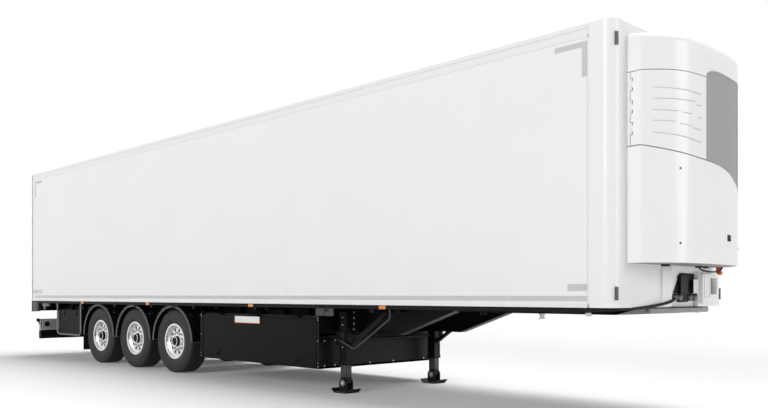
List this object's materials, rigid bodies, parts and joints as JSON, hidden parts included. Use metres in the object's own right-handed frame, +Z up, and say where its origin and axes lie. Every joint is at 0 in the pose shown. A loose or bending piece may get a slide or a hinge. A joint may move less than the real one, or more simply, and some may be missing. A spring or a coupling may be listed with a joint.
{
  "type": "refrigerated box semi trailer",
  "caption": "Insulated white box body on a black chassis with air-sprung axles, landing legs, pallet box and a front cooling unit; doors, lids and wheels move.",
  "frame": {"origin": "on the ground under the middle of the overall outline", "axes": "+X points forward to the cooling unit, +Y to the left side, +Z up"},
  "size_m": [13.915, 2.6, 4],
  "materials": {
    "box_white": "smooth white glass-fibre skin",
    "rail_white": "white painted profile",
    "door_white": "smooth white skin",
    "floor_metal": "ribbed aluminium",
    "rod_steel": "galvanised and plain steel",
    "chassis_black": "black satin paint",
    "lid_black": "black satin paint",
    "black_plastic": "dark moulded plastic",
    "black_rubber": "black rubber",
    "tyre": "clean road tyre",
    "wheel_aluminium": "polished aluminium",
    "tank_aluminium": "plain aluminium",
    "lamp_grey": "pale grey housing",
    "lens_red": "red lens",
    "lens_amber": "amber lens",
    "lens_dark": "dark lens",
    "unit_white": "white moulded cowl",
    "unit_metal": "grey frame",
    "grille_grey": "fine grey mesh"
  },
  "bodies": {
    "trailer": {"side_wall_right": "box_white", "side_wall_left": "box_white", "front_wall": "box_white", "box_roof": "box_white", "roof_rails": "rail_white", "rear_frame": "rail_white", "box_floor": "floor_metal", "tool_box_frame": "rod_steel", "kingpin": "rod_steel", "main_beams": "chassis_black", "cross_members": "chassis_black", "edge_rails": "chassis_black", "coupler_plate": "chassis_black", "underrun_bar": "chassis_black", "landing_legs": "chassis_black", "leg_braces": "chassis_black", "pallet_frame": "chassis_black", "pallet_floor": "chassis_black", "axle_front": "chassis_black", "axle_middle": "chassis_black", "axle_rear": "chassis_black", "air_tanks": "chassis_black", "mudguards": "black_plastic", "tool_box": "black_plastic", "couplings": "black_plastic", "mudflaps": "black_rubber", "buffers": "black_rubber", "air_springs": "black_rubber", "fuel_tank": "tank_aluminium", "lamp_carriers": "lamp_grey", "service_box": "lamp_grey", "tail_lamps": "lens_red", "side_markers": "lens_amber", "front_markers": "lens_dark", "unit_cap": "unit_white", "unit_lower_cowl": "unit_white", "unit_frame": "unit_metal", "unit_engine": "unit_metal", "unit_grille": "grille_grey"},
    "wheel_front_right": {"tyre_front_right": "tyre", "rim_front_right": "wheel_aluminium"},
    "wheel_front_left": {"tyre_front_left": "tyre", "rim_front_left": "wheel_aluminium"},
    "wheel_middle_right": {"tyre_middle_right": "tyre", "rim_middle_right": "wheel_aluminium"},
    "wheel_middle_left": {"tyre_middle_left": "tyre", "rim_middle_left": "wheel_aluminium"},
    "wheel_rear_right": {"tyre_rear_right": "tyre", "rim_rear_right": "wheel_aluminium"},
    "wheel_rear_left": {"tyre_rear_left": "tyre", "rim_rear_left": "wheel_aluminium"},
    "rear_door_right": {"rear_door_right": "door_white", "lock_rods_right": "rod_steel"},
    "pallet_lid_right": {"pallet_lid_right": "lid_black"},
    "unit_door_right": {"unit_door_right": "unit_white"},
    "rear_door_left": {"rear_door_left": "door_white", "lock_rods_left": "rod_steel"},
    "pallet_lid_left": {"pallet_lid_left": "lid_black"},
    "unit_door_left": {"unit_door_left": "unit_white"}
  },
  "joints": [
    {"name": "wheel_front_right_spin", "type": "hinge", "parent": "trailer", "child": "wheel_front_right", "pos_m": [-1.3225, -1.02, 0.536], "axis": [0, 1, 0], "continuous": true},
    {"name": "wheel_front_left_spin", "type": "hinge", "parent": "trailer", "child": "wheel_front_left", "pos_m": [-1.3225, 1.02, 0.536], "axis": [0, 1, 0], "continuous": true},
    {"name": "wheel_middle_right_spin", "type": "hinge", "parent": "trailer", "child": "wheel_middle_right", "pos_m": [-2.6325, -1.02, 0.536], "axis": [0, 1, 0], "continuous": true},
    {"name": "wheel_middle_left_spin", "type": "hinge", "parent": "trailer", "child": "wheel_middle_left", "pos_m": [-2.6325, 1.02, 0.536], "axis": [0, 1, 0], "continuous": true},
    {"name": "wheel_rear_right_spin", "type": "hinge", "parent": "trailer", "child": "wheel_rear_right", "pos_m": [-3.9425, -1.02, 0.536], "axis": [0, 1, 0], "continuous": true},
    {"name": "wheel_rear_left_spin", "type": "hinge", "parent": "trailer", "child": "wheel_rear_left", "pos_m": [-3.9425, 1.02, 0.536], "axis": [0, 1, 0], "continuous": true},
    {"name": "rear_door_right_hinge", "type": "hinge", "parent": "trailer", "child": "rear_door_right", "pos_m": [-6.9375, -1.28, 2.6], "axis": [0, 0, 1], "range_deg": [0, 270]},
    {"name": "pallet_lid_right_hinge", "type": "hinge", "parent": "trailer", "child": "pallet_lid_right", "pos_m": [0.9525, -1.25, 1.024], "axis": [-1, 0, 0], "range_deg": [0, 90]},
    {"name": "unit_door_right_hinge", "type": "hinge", "parent": "trailer", "child": "unit_door_right", "pos_m": [6.5495, -1.03, 3.16], "axis": [0, 0, -1], "range_deg": [0, 90]},
    {"name": "rear_door_left_hinge", "type": "hinge", "parent": "trailer", "child": "rear_door_left", "pos_m": [-6.9375, 1.28, 2.6], "axis": [0, 0, -1], "range_deg": [0, 270]},
    {"name": "pallet_lid_left_hinge", "type": "hinge", "parent": "trailer", "child": "pallet_lid_left", "pos_m": [0.9525, 1.25, 1.024], "axis": [1, 0, 0], "range_deg": [0, 90]},
    {"name": "unit_door_left_hinge", "type": "hinge", "parent": "trailer", "child": "unit_door_left", "pos_m": [6.5495, 1.03, 3.16], "axis": [0, 0, 1], "range_deg": [0, 90]}
  ]
}
